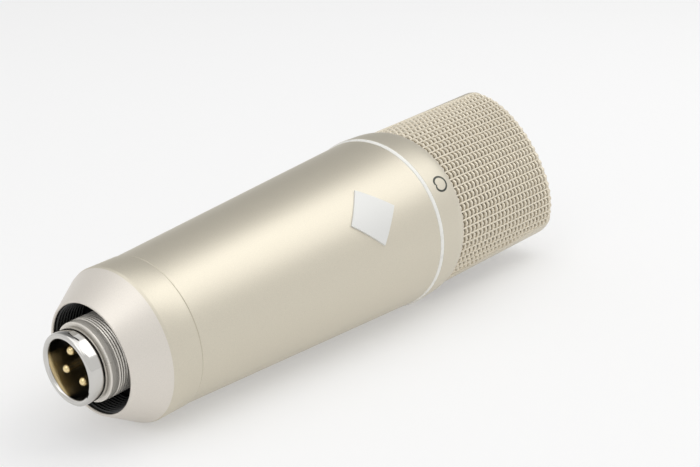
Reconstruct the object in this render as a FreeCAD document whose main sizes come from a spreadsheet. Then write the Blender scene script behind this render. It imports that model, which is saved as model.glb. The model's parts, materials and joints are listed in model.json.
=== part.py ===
"""Large-diaphragm condenser microphone with a side-address wedge head and a three-pin output plug.

Every piece is drawn about the microphone's own axis: Z runs from the plug towards the head, Z = 0 is
the head end of the body tube, and -Y is the front that the singer faces.  One placement then lays the
whole instrument down on its collar and its base cup, with +X towards the head and +Z up.
"""
import FreeCAD, Part
import Sketcher
import math
import os

doc = FreeCAD.newDocument("condenser_microphone")

# ---------------------------------------------------------------------------------------------------
# Driving dimensions, in millimetres and degrees
# ---------------------------------------------------------------------------------------------------
DIMENSIONS = [
    # body tube, trim ring and collar
    ("body_length", 94.3),
    ("body_head_radius", 27.5),
    ("body_base_radius", 21.7),
    ("body_wall", 1.6),
    ("edge_chamfer", 0.3),
    ("fit_clearance", 0.05),
    ("trim_height", 1.1),
    ("trim_proud", 0.15),
    ("collar_height", 11.7),
    ("collar_proud", 0.5),
    ("collar_waist_draw", 0.25),
    ("collar_waist_height", 9.5),
    ("collar_top_draw", 1.0),
    ("collar_curve_radius", 8.0),
    ("collar_wall", 2.0),
    ("web_thickness", 2.0),
    ("register_length", 4.0),
    ("register_wall", 1.9),
    ("register_relief", 0.5),
    # base cup
    ("band_length", 9.2),
    ("band_proud", 0.2),
    ("cone_length", 9.6),
    ("mouth_radius", 15.3),
    ("mouth_lip", 0.7),
    ("cup_wall", 2.9),
    ("spigot_length", 8.5),
    # wedge head
    ("head_height", 65.8),
    ("head_setback", 0.4),
    ("head_flare", 1.2),
    ("head_top_half_depth", 14.0),
    ("head_rounding", 6.0),
    ("mesh_thickness", 1.1),
    ("hoop_width", 9.0),
    ("hoop_thickness", 1.6),
    ("hoop_proud", 0.25),
    ("screen_gap", 0.3),
    ("screen_thickness", 0.4),
    ("base_ring_wall", 1.5),
    ("base_ring_flange", 4.0),
    ("base_ring_floor", 1.2),
    # output plug and stand thread
    ("shell_projection", 7.6),
    ("shell_outer_radius", 10.0),
    ("shell_inner_radius", 8.3),
    ("shell_length", 4.5),
    ("rim_chamfer", 0.5),
    ("neck_length", 0.9),
    ("neck_radius", 9.3),
    ("step_length", 1.9),
    ("step_radius", 11.0),
    ("thread_radius", 11.2),
    ("tail_radius", 9.0),
    ("tail_bore_radius", 7.5),
    ("tail_length", 7.8),
    ("shoulder_height", 1.0),
    ("socket_depth", 13.7),
    ("insert_overhang", 1.0),
    ("pin_radius", 1.2),
    ("pin_circle_radius", 4.3),
    ("pin_recess", 1.9),
    ("pin_tail", 3.5),
    ("pin_spread", 100.0),
    ("middle_pin_angle", 191.0),
    ("latch_angle", -40.0),
    ("latch_width", 4.2),
    ("latch_length", 1.8),
    ("latch_setback", 1.6),
    ("keyway_angle", 67.5),
    ("keyway_width", 2.2),
    ("keyway_depth", 0.8),
    ("keyway_length", 8.0),
    # chassis
    ("end_disc_thickness", 4.0),
    ("end_cavity_radius", 13.0),
    ("nut_across_corners", 25.0),
    ("nut_thickness", 3.0),
    ("rail_inset", 5.7),
    ("rail_width", 3.0),
    ("rail_depth", 6.0),
    ("screw_radius", 1.25),
    ("screw_head_radius", 2.0),
    ("screw_head_height", 1.5),
    ("screw_bite", 6.0),
    ("small_screw_radius", 1.0),
    ("small_bite", 4.0),
    ("board_overhang", 1.4),
    ("board_thickness", 1.6),
    ("board_low_gap", 6.0),
    ("board_high_gap", 7.0),
    ("board_screw_inset", 4.0),
    # parts on the back of the board; each lift is measured from the board's lower edge
    ("film_width", 6.0),
    ("film_depth", 8.5),
    ("film_height", 12.0),
    ("film_offset", 8.0),
    ("film_lift", 40.0),
    ("can_radius", 3.1),
    ("can_length", 9.0),
    ("can_pitch", 9.0),
    ("can_lift", 22.0),
    ("transistor_radius", 2.3),
    ("transistor_height", 4.6),
    ("transistor_flat", 1.4),
    ("transistor_pitch", 6.0),
    ("transistor_lift", 60.0),
    ("transistor_step", 6.0),
    ("resistor_radius", 1.1),
    ("resistor_length", 6.5),
    ("resistor_offset", 10.0),
    ("resistor_pitch", 3.0),
    ("resistor_lift", 52.0),
    ("low_resistor_offset", 12.0),
    ("low_resistor_lift", 8.0),
    ("header_width", 11.0),
    ("header_depth", 5.5),
    ("header_height", 5.0),
    ("header_lift", 4.0),
    ("header_pitch", 3.5),
    # capsule and its mounting
    ("capsule_lift", 36.0),
    ("capsule_radius", 16.8),
    ("capsule_thickness", 6.0),
    ("film_thickness", 0.2),
    ("clamp_thickness", 1.0),
    ("clamp_width", 2.6),
    ("clamp_screw_radius", 0.8),
    ("clamp_screw_height", 0.5),
    ("clamp_screw_count", 8),
    ("terminal_radius", 1.2),
    ("terminal_height", 0.8),
    ("cradle_wall", 1.8),
    ("cradle_foot_width", 11.0),
    ("cradle_foot_drop", 3.0),
    ("damper_radius", 5.2),
    ("damper_height", 2.5),
    ("post_radius", 4.2),
    ("post_flange_radius", 9.0),
    ("post_flange_height", 2.0),
    ("post_spigot_radius", 3.0),
    ("post_screw_offset", 6.5),
    # badge, leads and lying position
    ("badge_side", 13.0),
    ("badge_thickness", 0.5),
    ("badge_glue", 0.02),
    ("badge_setback", 24.0),
    ("lead_radius", 0.55),
    ("lead_stand_off", 3.0),
    ("lead_drop", 20.0),
    ("lead_straight", 5.0),
    ("output_lead_exit", 2.5),
    ("output_lead_entry", 2.0),
    ("lead_hole_radius", 1.6),
    ("lead_hole_offset", 12.0),
    ("front_angle", 53.5),
]

sheet = doc.addObject("Spreadsheet::Sheet", "Sizes")
for row, (alias, value) in enumerate(DIMENSIONS, start=1):
    sheet.set(f"A{row}", alias)
    sheet.set(f"B{row}", str(value))
    sheet.setAlias(f"B{row}", alias)
doc.recompute()


def size(alias):
    """Plain number held in the sheet."""
    return float(sheet.get(alias))


def solved(bound):
    """Plain number that an expression on the sheet comes to."""
    return float(sheet.evalExpression(bound))


# ---------------------------------------------------------------------------------------------------
# Stations along the axis and shared radii, as expressions on the sheet
# ---------------------------------------------------------------------------------------------------
SEAM = "-Sizes.body_length"
BAND_EDGE = SEAM + " - Sizes.band_length"
MOUTH = BAND_EDGE + " - Sizes.cone_length"
RING_LOW = SEAM + " - Sizes.spigot_length"
RING_FLOOR = RING_LOW + " + Sizes.end_disc_thickness"
RING_TOP = SEAM + " + Sizes.register_length"
WEB_LOW = "Sizes.trim_height"
WEB_TOP = WEB_LOW + " + Sizes.web_thickness"
COLLAR_TOP = WEB_LOW + " + Sizes.collar_height"
RIM = MOUTH + " - Sizes.shell_projection"
NECK = RIM + " + Sizes.shell_length"
STEP = NECK + " + Sizes.neck_length"
THREAD = STEP + " + Sizes.step_length"
SHOULDER = RING_LOW + " - Sizes.shoulder_height"
SOCKET_FLOOR = RIM + " + Sizes.socket_depth"
TAIL_END = RING_LOW + " + Sizes.tail_length"
INSERT_END = TAIL_END + " + Sizes.insert_overhang"
CAPSULE_AXIS = WEB_TOP + " + Sizes.capsule_lift"
BOARD_LOW = RING_TOP + " + Sizes.board_low_gap"
BOARD_HIGH = WEB_LOW + " - Sizes.board_high_gap"
BOARD_FRONT = "Sizes.rail_depth / 2"
BOARD_BACK = BOARD_FRONT + " + Sizes.board_thickness"

TRIM_RADIUS = "(Sizes.body_head_radius + Sizes.trim_proud)"
COLLAR_RADIUS = "(Sizes.body_head_radius + Sizes.collar_proud)"
COLLAR_LIP = f"({COLLAR_RADIUS} - Sizes.collar_top_draw)"
COLLAR_BORE = f"({COLLAR_LIP} - Sizes.collar_wall)"
HEAD_RADIUS = f"({COLLAR_LIP} - Sizes.head_setback)"
HEAD_HALF_WIDTH = f"({HEAD_RADIUS} + Sizes.head_flare)"
BAND_RADIUS = "(Sizes.body_base_radius + Sizes.band_proud)"
SPIGOT_RADIUS = f"({BAND_RADIUS} - Sizes.cup_wall)"
RAIL_OFFSET = "(Sizes.body_base_radius - Sizes.rail_inset)"
TUBE_BORE = "Sizes.body_head_radius - Sizes.body_wall"
COLLAR_REGISTER = TUBE_BORE + " - Sizes.fit_clearance"
BASE_REGISTER = "Sizes.body_base_radius - Sizes.body_wall - Sizes.fit_clearance"
BASE_RING_RADIUS = f"{COLLAR_BORE} - Sizes.fit_clearance"
SHELL_SEAT = "Sizes.neck_radius + Sizes.fit_clearance"

pieces = []


def piece(label, item):
    """Register a finished sub-part under the name of its node."""
    item.Label = label
    pieces.append(item)
    return item


# ---------------------------------------------------------------------------------------------------
# Sketched and revolved bodies
# ---------------------------------------------------------------------------------------------------
def origin_plane(body, role):
    return next(plane for plane in body.Origin.OriginFeatures if plane.Role == role)


def outline(body, name, corners):
    """Closed outline on the XZ plane; each corner is a (radius, station) pair of expressions."""
    sketch = body.newObject("Sketcher::SketchObject", name)
    sketch.AttachmentSupport = [(origin_plane(body, "XZ_Plane"), "")]
    sketch.MapMode = "FlatFace"
    count = len(corners)
    step = 2 * math.pi / count
    start = [FreeCAD.Vector(20 + 9 * math.cos(i * step), 9 * math.sin(i * step), 0) for i in range(count)]
    for i in range(count):
        sketch.addGeometry(Part.LineSegment(start[i], start[(i + 1) % count]), False)
    for i in range(count):
        sketch.addConstraint(Sketcher.Constraint("Coincident", i, 2, (i + 1) % count, 1))
    for i, (radius, station) in enumerate(corners):
        for kind, tag, bound, seed in (
            ("DistanceX", "radius", radius, start[i].x),
            ("DistanceY", "station", station, start[i].y),
        ):
            index = sketch.addConstraint(Sketcher.Constraint(kind, -1, 1, i, 1, seed))
            sketch.renameConstraint(index, f"{tag}_{i}")
            sketch.setExpression(f"Constraints.{tag}_{i}", bound)
    return sketch


def turned(name, corners):
    """Body turned about the microphone's axis from a closed outline."""
    body = doc.addObject("PartDesign::Body", name)
    sketch = outline(body, name + "_outline", corners)
    turn = body.newObject("PartDesign::Revolution", name + "_turn")
    turn.Profile = sketch
    turn.ReferenceAxis = (sketch, ["V_Axis"])
    turn.Angle = 360
    body.Tip = turn
    return body


# ---------------------------------------------------------------------------------------------------
# Primitives, booleans and groups
# ---------------------------------------------------------------------------------------------------
TO_Y = FreeCAD.Rotation(FreeCAD.Vector(1, 0, 0), -90)


def bind_place(item, x, y, z):
    for axis, bound in (("x", x), ("y", y), ("z", z)):
        item.setExpression(f"Placement.Base.{axis}", bound)


def rod(name, radius, length, x="0", y="0", z="0", along_y=False):
    """Cylinder that starts at a point and runs along Z, or along Y."""
    item = doc.addObject("Part::Cylinder", name)
    if along_y:
        item.Placement.Rotation = TO_Y
    item.setExpression("Radius", radius)
    item.setExpression("Height", length)
    bind_place(item, x, y, z)
    return item


def block(name, length, depth, height, x, y, z):
    """Box between one corner and its three sizes along X, Y and Z."""
    item = doc.addObject("Part::Box", name)
    item.setExpression("Length", length)
    item.setExpression("Width", depth)
    item.setExpression("Height", height)
    bind_place(item, x, y, z)
    return item


def fused(name, items):
    item = doc.addObject("Part::MultiFuse", name)
    item.Shapes = items
    return item


def grouped(name, items):
    """Separate solids that share one node."""
    item = doc.addObject("Part::Compound", name)
    item.Links = items
    return item


def without(name, base, tools):
    """The base with one tool, or a group of tools, cut away."""
    item = doc.addObject("Part::Cut", name)
    item.Refine = False
    item.Base = base
    item.Tool = tools[0] if len(tools) == 1 else grouped(name + "_cutters", tools)
    return item


def shared(name, first, second):
    item = doc.addObject("Part::Common", name)
    item.Refine = False
    item.Base = first
    item.Tool = second
    return item


def tube(name, outer, inner, length, x="0", y="0", z="0", along_y=False):
    """Plain ring or sleeve."""
    solid = rod(name + "_outer", outer, length, x, y, z, along_y)
    hole = rod(name + "_hole", inner, length, x, y, z, along_y)
    return without(name, solid, [hole])


def around(radius, angle):
    """X and Y expressions of a point at a polar angle from the front, turning towards +X."""
    return f"({radius}) * sin({angle} * 1 deg)", f"-({radius}) * cos({angle} * 1 deg)"


# ---------------------------------------------------------------------------------------------------
# Casing: body tube, trim ring, collar and base cup
# ---------------------------------------------------------------------------------------------------
def make_body_tube():
    taper = "(Sizes.body_head_radius - Sizes.body_base_radius) / Sizes.body_length"
    seat_depth = "(Sizes.register_length + Sizes.register_relief)"
    return turned("body_tube", [
        ("Sizes.body_base_radius - Sizes.edge_chamfer", SEAM),
        ("Sizes.body_base_radius", SEAM + " + Sizes.edge_chamfer"),
        ("Sizes.body_head_radius", "-Sizes.edge_chamfer"),
        ("Sizes.body_head_radius - Sizes.edge_chamfer", "0"),
        (TUBE_BORE, "0"),
        (TUBE_BORE, f"-{seat_depth}"),
        (f"{TUBE_BORE} - {seat_depth} * {taper}", f"-{seat_depth}"),
        ("Sizes.body_base_radius - Sizes.body_wall", SEAM),
    ])


def make_trim_ring():
    return turned("trim_ring", [
        (TUBE_BORE, "0"),
        (TRIM_RADIUS + " - Sizes.edge_chamfer", "0"),
        (TRIM_RADIUS, "Sizes.trim_height / 2"),
        (TRIM_RADIUS + " - Sizes.edge_chamfer", WEB_LOW),
        (TUBE_BORE, WEB_LOW),
    ])


def screw_row(name, places, head_station, bite, radius, downwards):
    """Cheese-head screws along the axis; the head rests on its station and the shank bites past it."""
    screws = []
    for number, (x, y) in enumerate(places, start=1):
        head_start = head_station if downwards else f"{head_station} - Sizes.screw_head_height"
        shank_start = f"{head_station} - ({bite})" if downwards else head_station
        head = rod(f"{name}_head_{number}", "Sizes.screw_head_radius", "Sizes.screw_head_height",
                   x, y, head_start)
        shank = rod(f"{name}_shank_{number}", radius, bite, x, y, shank_start)
        screws.append(fused(f"{name}_{number}", [head, shank]))
    return grouped(name, screws)


def drills(name, places, station, depth, radius):
    """Clearance holes for a row of screws along the axis."""
    return [rod(f"{name}_{number}", f"{radius} + Sizes.fit_clearance", depth, x, y, station)
            for number, (x, y) in enumerate(places, start=1)]


RAIL_PLACES = [(f"-{RAIL_OFFSET}", "0"), (RAIL_OFFSET, "0")]
POST_SCREW_PLACES = [("-Sizes.post_screw_offset", "0"), ("Sizes.post_screw_offset", "0")]
FLANGE_MIDDLE = f"{BASE_RING_RADIUS} - Sizes.base_ring_wall - Sizes.base_ring_flange / 2"
BASKET_PLACES = [around(FLANGE_MIDDLE, angle) for angle in (45, 135, 225, 315)]
LEAD_HOLES = [("0", "-Sizes.lead_hole_offset"), ("0", "Sizes.lead_hole_offset")]


def make_collar():
    register_bore = COLLAR_REGISTER + " - Sizes.register_wall"
    waist = WEB_LOW + " + Sizes.collar_waist_height"
    body = turned("collar_ring", [
        (register_bore, "-Sizes.register_length"),
        (COLLAR_REGISTER, "-Sizes.register_length"),
        (COLLAR_REGISTER, WEB_LOW),
        (COLLAR_RADIUS + " - Sizes.edge_chamfer", WEB_LOW),
        (COLLAR_RADIUS, WEB_LOW + " + Sizes.edge_chamfer"),
        (COLLAR_RADIUS + " - Sizes.collar_waist_draw", waist),
        (COLLAR_LIP, COLLAR_TOP + " - Sizes.edge_chamfer"),
        (COLLAR_LIP + " - Sizes.edge_chamfer", COLLAR_TOP),
        (COLLAR_BORE, COLLAR_TOP),
        (COLLAR_BORE, WEB_TOP),
        ("Sizes.post_spigot_radius + Sizes.fit_clearance", WEB_TOP),
        ("Sizes.post_spigot_radius + Sizes.fit_clearance", WEB_LOW),
        (register_bore, WEB_LOW),
    ])
    doc.recompute()
    turn = body.Tip
    waist_height = size("trim_height") + size("collar_waist_height")
    edges = [f"Edge{number}" for number, edge in enumerate(turn.Shape.Edges, start=1)
             if edge.BoundBox.ZLength < 0.01
             and abs(edge.BoundBox.ZMin - waist_height) < 0.01
             and edge.BoundBox.XLength > 2 * solved(COLLAR_BORE)]
    curve = body.newObject("PartDesign::Fillet", "collar_curve")
    curve.Base = (turn, edges)
    curve.setExpression("Radius", "Sizes.collar_curve_radius")
    body.Tip = curve
    holes = drills("collar_rail_hole", RAIL_PLACES, WEB_LOW, "Sizes.web_thickness", "Sizes.screw_radius")
    holes += drills("collar_post_hole", POST_SCREW_PLACES, WEB_LOW, "Sizes.web_thickness",
                    "Sizes.small_screw_radius")
    holes += drills("collar_basket_hole", BASKET_PLACES, WEB_LOW, "Sizes.web_thickness",
                    "Sizes.small_screw_radius")
    holes += [rod(f"collar_lead_hole_{number}", "Sizes.lead_hole_radius", "Sizes.web_thickness", x, y, WEB_LOW)
              for number, (x, y) in enumerate(LEAD_HOLES, start=1)]
    return without("collar", body, holes)


def make_base_cup():
    return turned("base_cup", [
        (BAND_RADIUS + " - Sizes.edge_chamfer", SEAM),
        (SPIGOT_RADIUS + " + Sizes.fit_clearance", SEAM),
        (SPIGOT_RADIUS + " + Sizes.fit_clearance", RING_LOW),
        ("Sizes.mouth_radius", RING_LOW),
        ("Sizes.mouth_radius", MOUTH + " + Sizes.edge_chamfer"),
        ("Sizes.mouth_radius + Sizes.edge_chamfer", MOUTH),
        ("Sizes.mouth_radius + Sizes.mouth_lip", MOUTH),
        (BAND_RADIUS, BAND_EDGE),
        (BAND_RADIUS, SEAM + " - Sizes.edge_chamfer"),
    ])


# ---------------------------------------------------------------------------------------------------
# Wedge head: one lofted form, offset inwards for each layer
# ---------------------------------------------------------------------------------------------------


def head_section(name, half_width, half_depth, station):
    section = doc.addObject("Part::Ellipse", name)
    section.setExpression("MajorRadius", half_width)
    section.setExpression("MinorRadius", half_depth)
    section.setExpression("Placement.Base.z", station)
    return section


def head_form(name, inset):
    """Solid from the round base to the oval top, with the whole top edge rounded over.

    The rounding keeps inside the oval's tightest bend, which is at its two ends.
    """
    base_radius = f"{HEAD_RADIUS} - ({inset})"
    half_width = f"({HEAD_HALF_WIDTH} - ({inset}))"
    half_depth = f"(Sizes.head_top_half_depth - ({inset}))"
    low = head_section(name + "_low", base_radius, base_radius, COLLAR_TOP)
    high = head_section(name + "_high", half_width, half_depth,
                        f"{COLLAR_TOP} + Sizes.head_height - ({inset})")
    loft = doc.addObject("Part::Loft", name + "_loft")
    loft.Sections = [low, high]
    loft.Solid = True
    loft.Ruled = False
    body = doc.addObject("PartDesign::Body", name)
    body.BaseFeature = loft
    doc.recompute()
    blank = body.Group[0]
    top = max(edge.BoundBox.ZMin for edge in blank.Shape.Edges)
    rim = [f"Edge{number}" for number, edge in enumerate(blank.Shape.Edges, start=1)
           if edge.BoundBox.ZMin > top - 0.01]
    rounding = body.newObject("PartDesign::Fillet", name + "_rounding")
    rounding.Base = (blank, rim)
    tightest_bend = f"{half_depth} * {half_depth} / {half_width}"
    rounding.setExpression("Radius", f"min(Sizes.head_rounding - ({inset}); 0.9 * {tightest_bend})")
    body.Tip = rounding
    return body


def head_slab(name, front, depth):
    """Upright slab across the head, as wide and as tall as the head needs."""
    reach = f"({HEAD_HALF_WIDTH} + {HEAD_RADIUS})"
    return block(name, f"2 * {reach}", depth, f"Sizes.head_height + {reach}", f"-{reach}", front, "0")


def make_head():
    hoop_inset = "Sizes.hoop_thickness - Sizes.hoop_proud"
    screen_inset = f"{hoop_inset} + Sizes.screen_gap"
    half_hoop = "Sizes.hoop_width / 2"
    depth = f"2 * {HEAD_RADIUS}"

    mesh_skin = without("mesh_skin", head_form("mesh_outer", "0"),
                        [head_form("mesh_inner", "Sizes.mesh_thickness")])
    front = shared("front_mesh", mesh_skin, head_slab("front_side", f"-({depth}) - {half_hoop}", depth))
    rear = shared("rear_mesh", mesh_skin, head_slab("rear_side", half_hoop, depth))

    hoop_skin = without("hoop_skin", head_form("hoop_outer", "-Sizes.hoop_proud"),
                        [head_form("hoop_inner", hoop_inset)])
    hoop = shared("grille_hoop", hoop_skin, head_slab("hoop_slab", f"-{half_hoop}", "Sizes.hoop_width"))

    screen = without("inner_screen", head_form("screen_outer", screen_inset),
                     [head_form("screen_inner", f"{screen_inset} + Sizes.screen_thickness")])
    return front, rear, hoop, screen


def make_grille_base_ring():
    bore = BASE_RING_RADIUS + " - Sizes.base_ring_wall"
    body = turned("base_ring_turned", [
        (bore + " - Sizes.base_ring_flange", WEB_TOP),
        (BASE_RING_RADIUS, WEB_TOP),
        (BASE_RING_RADIUS, COLLAR_TOP),
        (bore, COLLAR_TOP),
        (bore, WEB_TOP + " + Sizes.base_ring_floor"),
        (bore + " - Sizes.base_ring_flange", WEB_TOP + " + Sizes.base_ring_floor"),
    ])
    openings = drills("base_ring_hole", BASKET_PLACES, WEB_TOP, "Sizes.base_ring_floor",
                      "Sizes.small_screw_radius")
    # room for the heads of the rail screws, wherever the flange comes near them
    openings += drills("base_ring_notch", RAIL_PLACES, WEB_TOP, "Sizes.screw_head_height",
                       "Sizes.screw_head_radius")
    return without("grille_base_ring", body, openings)


# ---------------------------------------------------------------------------------------------------
# Output plug and stand thread
# ---------------------------------------------------------------------------------------------------
def make_plug_shell():
    body = turned("plug_shell_turned", [
        ("Sizes.shell_inner_radius", RIM + " + Sizes.rim_chamfer"),
        ("Sizes.shell_inner_radius + Sizes.rim_chamfer", RIM),
        ("Sizes.shell_outer_radius - Sizes.rim_chamfer", RIM),
        ("Sizes.shell_outer_radius", RIM + " + Sizes.rim_chamfer"),
        ("Sizes.shell_outer_radius", NECK),
        ("Sizes.neck_radius", NECK),
        ("Sizes.neck_radius", SHOULDER),
        ("Sizes.shell_inner_radius", SHOULDER),
    ])
    # latch window right through the wall, and the index groove along the inside of it
    window = block("latch_window", "Sizes.latch_width", "Sizes.shell_outer_radius", "Sizes.latch_length",
                   "0", "0", RIM + " + Sizes.latch_setback")
    groove = block("keyway", "Sizes.keyway_width", "Sizes.keyway_depth", "Sizes.keyway_length",
                   "0", "0", RIM)
    for cutter, angle, width, reach in (
        (window, "latch_angle", "latch_width", size("shell_outer_radius") + 1),
        (groove, "keyway_angle", "keyway_width", size("shell_inner_radius") + size("keyway_depth")),
    ):
        turn = FreeCAD.Rotation(FreeCAD.Vector(0, 0, 1), size(angle))
        corner = turn.multVec(FreeCAD.Vector(-size(width) / 2, -reach, 0))
        cutter.Placement.Rotation = turn
        cutter.setExpression("Placement.Base.x", f"{corner.x}")
        cutter.setExpression("Placement.Base.y", f"{corner.y}")
    return without("plug_shell", body, [window, groove])


def make_threaded_ferrule():
    return turned("threaded_ferrule", [
        (SHELL_SEAT, STEP),
        ("Sizes.step_radius - Sizes.edge_chamfer", STEP),
        ("Sizes.step_radius", STEP + " + Sizes.edge_chamfer"),
        ("Sizes.step_radius", THREAD),
        ("Sizes.thread_radius", THREAD),
        ("Sizes.thread_radius", RING_LOW),
        ("Sizes.tail_radius", RING_LOW),
        ("Sizes.tail_radius", TAIL_END),
        ("Sizes.tail_bore_radius", TAIL_END),
        ("Sizes.tail_bore_radius", SHOULDER),
        (SHELL_SEAT, SHOULDER),
    ])


PIN_PLACES = [around("Sizes.pin_circle_radius", f"(Sizes.middle_pin_angle + {turn} * Sizes.pin_spread)")
              for turn in (-1, 1, 0)]


def make_insert():
    front = rod("insert_front", "Sizes.shell_inner_radius - Sizes.fit_clearance",
                f"{SHOULDER} - ({SOCKET_FLOOR})", z=SOCKET_FLOOR)
    tail = rod("insert_tail", "Sizes.tail_bore_radius - Sizes.fit_clearance",
               f"{INSERT_END} - ({SHOULDER})", z=SHOULDER)
    holes = [rod(f"insert_pin_hole_{number}", "Sizes.pin_radius + Sizes.fit_clearance",
                 f"{INSERT_END} - ({SOCKET_FLOOR})", x, y, SOCKET_FLOOR)
             for number, (x, y) in enumerate(PIN_PLACES, start=1)]
    return without("plug_insert", fused("insert_blank", [front, tail]), holes)


def make_contact_pin(number, place):
    """Round-nosed contact with its solder tail behind the insert."""
    x, y = place
    nose_centre = f"{RIM} + Sizes.pin_recess + Sizes.pin_radius"
    shank = rod(f"pin_shank_{number}", "Sizes.pin_radius",
                f"{INSERT_END} + Sizes.pin_tail - ({nose_centre})", x, y, nose_centre)
    nose = doc.addObject("Part::Sphere", f"pin_nose_{number}")
    nose.setExpression("Radius", "Sizes.pin_radius")
    bind_place(nose, x, y, nose_centre)
    return fused(f"contact_pin_{number}", [shank, nose])


# ---------------------------------------------------------------------------------------------------
# Chassis: end ring, nut, rails and circuit board
# ---------------------------------------------------------------------------------------------------
def make_end_ring():
    body = turned("end_ring_turned", [
        ("Sizes.tail_radius + Sizes.fit_clearance", RING_LOW),
        (SPIGOT_RADIUS, RING_LOW),
        (SPIGOT_RADIUS, SEAM),
        (BASE_REGISTER, SEAM),
        (BASE_REGISTER, RING_TOP),
        ("Sizes.end_cavity_radius", RING_TOP),
        ("Sizes.end_cavity_radius", RING_FLOOR),
        ("Sizes.tail_radius + Sizes.fit_clearance", RING_FLOOR),
    ])
    through = f"{RING_TOP} - ({RING_LOW})"
    holes = drills("end_ring_hole", RAIL_PLACES, RING_LOW, through, "Sizes.screw_radius")
    holes += [rod(f"end_ring_sink_{number}", "Sizes.screw_head_radius + Sizes.fit_clearance",
                  "Sizes.screw_head_height", x, y, RING_LOW)
              for number, (x, y) in enumerate(RAIL_PLACES, start=1)]
    return without("chassis_end_ring", body, holes)


def make_nut():
    prism = doc.addObject("Part::Prism", "nut_prism")
    prism.Polygon = 6
    prism.setExpression("Circumradius", "Sizes.nut_across_corners / 2")
    prism.setExpression("Height", "Sizes.nut_thickness")
    prism.setExpression("Placement.Base.z", RING_FLOOR)
    bore = rod("nut_bore", "Sizes.tail_radius + Sizes.fit_clearance", "Sizes.nut_thickness", z=RING_FLOOR)
    return without("ferrule_nut", prism, [bore])


BOARD_SCREW_STATIONS = [BOARD_LOW + " + Sizes.board_screw_inset", BOARD_HIGH + " - Sizes.board_screw_inset"]


def make_rail(name, side):
    """Square brass rail, tapped at both ends and for the board screws."""
    middle = f"{side} * {RAIL_OFFSET}"
    bar = block(name + "_bar", "Sizes.rail_width", "Sizes.rail_depth", f"{WEB_LOW} - ({RING_TOP})",
                f"{middle} - Sizes.rail_width / 2", "-Sizes.rail_depth / 2", RING_TOP)
    holes = drills(name + "_low_hole", [(middle, "0")], RING_TOP, "Sizes.screw_bite", "Sizes.screw_radius")
    holes += drills(name + "_high_hole", [(middle, "0")], WEB_LOW + " - Sizes.screw_bite", "Sizes.screw_bite",
                    "Sizes.screw_radius")
    holes += [rod(f"{name}_board_hole_{number}", "Sizes.small_screw_radius + Sizes.fit_clearance",
                  "Sizes.small_bite", middle, f"{BOARD_FRONT} - Sizes.small_bite", station, along_y=True)
              for number, station in enumerate(BOARD_SCREW_STATIONS, start=1)]
    return without(name, bar, holes)


def make_board():
    half_width = f"({RAIL_OFFSET} + Sizes.board_overhang)"
    plate = block("board_plate", f"2 * {half_width}", "Sizes.board_thickness",
                  f"{BOARD_HIGH} - ({BOARD_LOW})", f"-{half_width}", BOARD_FRONT, BOARD_LOW)
    holes = [rod(f"board_hole_{side}_{row}", "Sizes.small_screw_radius + Sizes.fit_clearance",
                 "Sizes.board_thickness", f"{side} * {RAIL_OFFSET}", BOARD_FRONT, station, along_y=True)
             for side in (-1, 1) for row, station in enumerate(BOARD_SCREW_STATIONS)]
    return without("circuit_board", plate, holes)


def make_board_screws():
    screws = []
    for side in (-1, 1):
        for row, station in enumerate(BOARD_SCREW_STATIONS):
            x = f"{side} * {RAIL_OFFSET}"
            tag = f"board_screw_{'left' if side < 0 else 'right'}_{row}"
            head = rod(tag + "_head", "Sizes.screw_head_radius", "Sizes.screw_head_height",
                       x, BOARD_BACK, station, along_y=True)
            shank = rod(tag + "_shank", "Sizes.small_screw_radius",
                        "Sizes.small_bite + Sizes.board_thickness", x,
                        f"{BOARD_FRONT} - Sizes.small_bite", station, along_y=True)
            screws.append(fused(tag, [head, shank]))
    return grouped("board_screws", screws)


# Places on the back of the board: (x, height of the part's middle above the board's lower edge)
FILM_PLACES = [(f"{side} * Sizes.film_offset", "Sizes.film_lift") for side in (-1, 1)]
CAN_PLACES = [(f"{step} * Sizes.can_pitch", "Sizes.can_lift") for step in (-1, 0, 1)]
TRANSISTOR_PLACES = [
    ("-Sizes.transistor_pitch", "Sizes.transistor_lift"),
    ("0", "Sizes.transistor_lift + Sizes.transistor_step"),
    ("Sizes.transistor_pitch", "Sizes.transistor_lift"),
]
RESISTOR_PLACES = [(f"{side} * (Sizes.resistor_offset + {step} * Sizes.resistor_pitch)", "Sizes.resistor_lift")
                   for side, step in ((-1, 1), (-1, 0), (1, 0), (1, 1))]
RESISTOR_PLACES += [(f"{side} * Sizes.low_resistor_offset", "Sizes.low_resistor_lift") for side in (-1, 1)]


def above(lift):
    """Station at a height above the board's lower edge."""
    return f"{BOARD_LOW} + {lift}"


def make_film_capacitors():
    return grouped("film_capacitors", [
        block(f"film_capacitor_{number}", "Sizes.film_width", "Sizes.film_depth", "Sizes.film_height",
              f"{x} - Sizes.film_width / 2", BOARD_BACK, above(f"{lift} - Sizes.film_height / 2"))
        for number, (x, lift) in enumerate(FILM_PLACES, start=1)])


def make_electrolytic_capacitors():
    return grouped("electrolytic_capacitors", [
        rod(f"electrolytic_{number}", "Sizes.can_radius", "Sizes.can_length", x, BOARD_BACK, above(lift),
            along_y=True)
        for number, (x, lift) in enumerate(CAN_PLACES, start=1)])


def make_transistors():
    transistors = []
    for number, (x, lift) in enumerate(TRANSISTOR_PLACES, start=1):
        round_side = rod(f"transistor_round_{number}", "Sizes.transistor_radius", "Sizes.transistor_height",
                         x, BOARD_BACK, above(lift), along_y=True)
        flat_side = block(f"transistor_flat_{number}", "2 * Sizes.transistor_radius",
                          "Sizes.transistor_height", "Sizes.transistor_radius",
                          f"{x} - Sizes.transistor_radius", BOARD_BACK,
                          above(f"{lift} + Sizes.transistor_flat"))
        transistors.append(without(f"transistor_{number}", round_side, [flat_side]))
    return grouped("transistors", transistors)


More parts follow.
